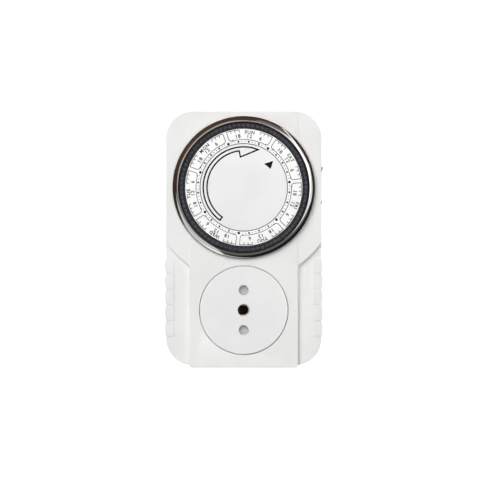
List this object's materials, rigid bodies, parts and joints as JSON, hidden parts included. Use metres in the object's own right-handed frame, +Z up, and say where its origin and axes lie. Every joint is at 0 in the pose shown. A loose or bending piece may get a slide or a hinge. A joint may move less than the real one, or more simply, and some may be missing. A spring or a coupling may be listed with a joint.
{
  "type": "programmable timer",
  "caption": "plug-in weekly mechanical timer: tall rounded case with a tappet dial in a glossy ring, a side rocker, a three-hole in-line socket below and a three-pin plug behind",
  "frame": {"origin": "centre of the plug earth pin on the plug mating plane", "axes": "+Y along the plug pins, away from the case; +Z up from the socket to the dial; the dial faces -Y"},
  "size_m": [0.076, 0.0685, 0.122],
  "materials": {
    "case_plastic": "moulded, smooth gloss",
    "ring_gloss": "moulded, smooth gloss",
    "plate_plastic": "moulded, smooth gloss",
    "rocker_plastic": "moulded, smooth gloss",
    "wheel_plastic": "moulded, fine matt",
    "scale_plastic": "moulded, fine matt",
    "cap_plastic": "moulded, fine matt",
    "movement_plastic": "moulded, fine matt",
    "steel": "bright drawn",
    "lamination": "varnished laminations",
    "winding": "stamped and bright",
    "lead_insulation": "moulded, smooth gloss",
    "magnet": "sintered",
    "gear_plastic": "moulded, fine matt",
    "spring_bronze": "stamped and bright",
    "block_plastic": "moulded, fine matt",
    "strap_brass": "stamped and bright",
    "pin_nickel": "nickel plated",
    "shutter_plastic": "moulded, fine matt",
    "tappet_plastic": "moulded, fine matt"
  },
  "bodies": {
    "housing": {"front_shell": "case_plastic", "rear_shell": "case_plastic", "bezel_ring": "ring_gloss", "socket_plate": "plate_plastic", "housing_screws": "steel", "centre_cap": "cap_plastic", "chassis": "movement_plastic", "chassis_screws": "steel", "gear_bridge": "movement_plastic", "bridge_screws": "steel", "stator_plates": "lamination", "coil_bobbin": "movement_plastic", "coil_winding": "winding", "motor_leads": "lead_insulation", "switch_block": "block_plastic", "fixed_contact": "strap_brass", "live_pin": "pin_nickel", "neutral_pin": "pin_nickel", "earth_pin": "pin_nickel", "pin_sleeves": "block_plastic", "live_in_strap": "strap_brass", "live_out_strap": "strap_brass", "neutral_strap": "strap_brass", "earth_strap": "strap_brass", "live_contact": "spring_bronze", "neutral_contact": "spring_bronze", "earth_contact": "spring_bronze", "contact_carrier": "movement_plastic", "shutter_spring": "steel"},
    "dial": {"program_wheel": "wheel_plastic", "scale_ring": "scale_plastic", "tappets_fri": "tappet_plastic", "tappets_thu": "tappet_plastic", "tappets_wed": "tappet_plastic", "tappets_tue": "tappet_plastic", "tappets_mon": "tappet_plastic", "tappets_sun": "tappet_plastic"},
    "drive_gear": {"drive_gear": "gear_plastic"},
    "clutch_arbor": {"clutch_pinion": "steel", "clutch_washer": "steel"},
    "rotor": {"rotor_magnet": "magnet", "rotor_arbor": "steel"},
    "first_wheel": {"first_wheel": "gear_plastic"},
    "clutch_wheel": {"clutch_wheel": "gear_plastic"},
    "switch_plunger": {"switch_plunger": "movement_plastic"},
    "contact_leaf": {"contact_leaf": "spring_bronze"},
    "rocker": {"rocker_button": "rocker_plastic"},
    "shutter": {"shutter": "shutter_plastic"},
    "tappet_sat_01": {"tappet_sat_01": "tappet_plastic"},
    "tappet_sat_02": {"tappet_sat_02": "tappet_plastic"},
    "tappet_sat_03": {"tappet_sat_03": "tappet_plastic"},
    "tappet_sat_04": {"tappet_sat_04": "tappet_plastic"},
    "tappet_sat_05": {"tappet_sat_05": "tappet_plastic"},
    "tappet_sat_06": {"tappet_sat_06": "tappet_plastic"},
    "tappet_sat_07": {"tappet_sat_07": "tappet_plastic"},
    "tappet_sat_08": {"tappet_sat_08": "tappet_plastic"},
    "tappet_sat_09": {"tappet_sat_09": "tappet_plastic"},
    "tappet_sat_10": {"tappet_sat_10": "tappet_plastic"},
    "tappet_sat_11": {"tappet_sat_11": "tappet_plastic"},
    "tappet_sat_12": {"tappet_sat_12": "tappet_plastic"}
  },
  "joints": [
    {"name": "dial_spin", "type": "hinge", "parent": "housing", "child": "dial", "pos_m": [0, -0.04, 0.0585], "axis": [0, 1, 0], "continuous": true},
    {"name": "drive_gear_spin", "type": "hinge", "parent": "housing", "child": "drive_gear", "pos_m": [0, -0.028, 0.0385], "axis": [0, 1, 0], "continuous": true},
    {"name": "clutch_arbor_spin", "type": "hinge", "parent": "housing", "child": "clutch_arbor", "pos_m": [0.01149, -0.024, 0.04814], "axis": [0, 1, 0], "continuous": true},
    {"name": "rotor_spin", "type": "hinge", "parent": "housing", "child": "rotor", "pos_m": [-0.004, -0.02, 0.0585], "axis": [0, 1, 0], "continuous": true},
    {"name": "first_wheel_spin", "type": "hinge", "parent": "housing", "child": "first_wheel", "pos_m": [0.00781, -0.024, 0.06061], "axis": [0, 1, 0], "continuous": true},
    {"name": "clutch_wheel_spin", "type": "hinge", "parent": "housing", "child": "clutch_wheel", "pos_m": [0.01149, -0.022, 0.04814], "axis": [0, 1, 0], "continuous": true},
    {"name": "tappet_sat_01_press", "type": "slide", "parent": "dial", "child": "tappet_sat_01", "axis": [0, 1, 0], "range_m": [0, 0.002]},
    {"name": "tappet_sat_02_press", "type": "slide", "parent": "dial", "child": "tappet_sat_02", "axis": [0, 1, 0], "range_m": [0, 0.002]},
    {"name": "tappet_sat_03_press", "type": "slide", "parent": "dial", "child": "tappet_sat_03", "axis": [0, 1, 0], "range_m": [0, 0.002]},
    {"name": "tappet_sat_04_press", "type": "slide", "parent": "dial", "child": "tappet_sat_04", "axis": [0, 1, 0], "range_m": [0, 0.002]},
    {"name": "tappet_sat_05_press", "type": "slide", "parent": "dial", "child": "tappet_sat_05", "axis": [0, 1, 0], "range_m": [0, 0.002]},
    {"name": "tappet_sat_06_press", "type": "slide", "parent": "dial", "child": "tappet_sat_06", "axis": [0, 1, 0], "range_m": [0, 0.002]},
    {"name": "tappet_sat_07_press", "type": "slide", "parent": "dial", "child": "tappet_sat_07", "axis": [0, 1, 0], "range_m": [0, 0.002]},
    {"name": "tappet_sat_08_press", "type": "slide", "parent": "dial", "child": "tappet_sat_08", "axis": [0, 1, 0], "range_m": [0, 0.002]},
    {"name": "tappet_sat_09_press", "type": "slide", "parent": "dial", "child": "tappet_sat_09", "axis": [0, 1, 0], "range_m": [0, 0.002]},
    {"name": "tappet_sat_10_press", "type": "slide", "parent": "dial", "child": "tappet_sat_10", "axis": [0, 1, 0], "range_m": [0, 0.002]},
    {"name": "tappet_sat_11_press", "type": "slide", "parent": "dial", "child": "tappet_sat_11", "axis": [0, 1, 0], "range_m": [0, 0.002]},
    {"name": "tappet_sat_12_press", "type": "slide", "parent": "dial", "child": "tappet_sat_12", "axis": [0, 1, 0], "range_m": [0, 0.002]},
    {"name": "switch_plunger_slide", "type": "slide", "parent": "housing", "child": "switch_plunger", "axis": [0, 1, 0], "range_m": [0, 0.00171]},
    {"name": "contact_leaf_bend", "type": "hinge", "parent": "housing", "child": "contact_leaf", "pos_m": [0.025, -0.02585, 0.0541], "axis": [-1, 0, 0], "range_deg": [0, 4.25]},
    {"name": "rocker_tilt", "type": "hinge", "parent": "housing", "child": "rocker", "pos_m": [0.0335, -0.018, 0.0598], "axis": [0, -1, 0], "range_deg": [0, 5]},
    {"name": "shutter_slide", "type": "slide", "parent": "housing", "child": "shutter", "axis": [1, 0, 0], "range_m": [0, 0.005], "stiffness_N_per_m": 60, "springref_m": -0.002, "deforming": ["shutter_spring"]}
  ],
  "couplings": [
    {"joint": "drive_gear_spin", "follows": "dial_spin", "ratio": -4},
    {"joint": "clutch_arbor_spin", "follows": "dial_spin", "ratio": 16},
    {"joint": "first_wheel_spin", "follows": "rotor_spin", "ratio": -0.33333},
    {"joint": "clutch_wheel_spin", "follows": "rotor_spin", "ratio": 0.1},
    {"joint": "switch_plunger_slide", "follows": "tappet_sat_04_press", "ratio": 0.85},
    {"joint": "contact_leaf_bend", "follows": "tappet_sat_04_press", "rad_per_m": 36.75}
  ]
}
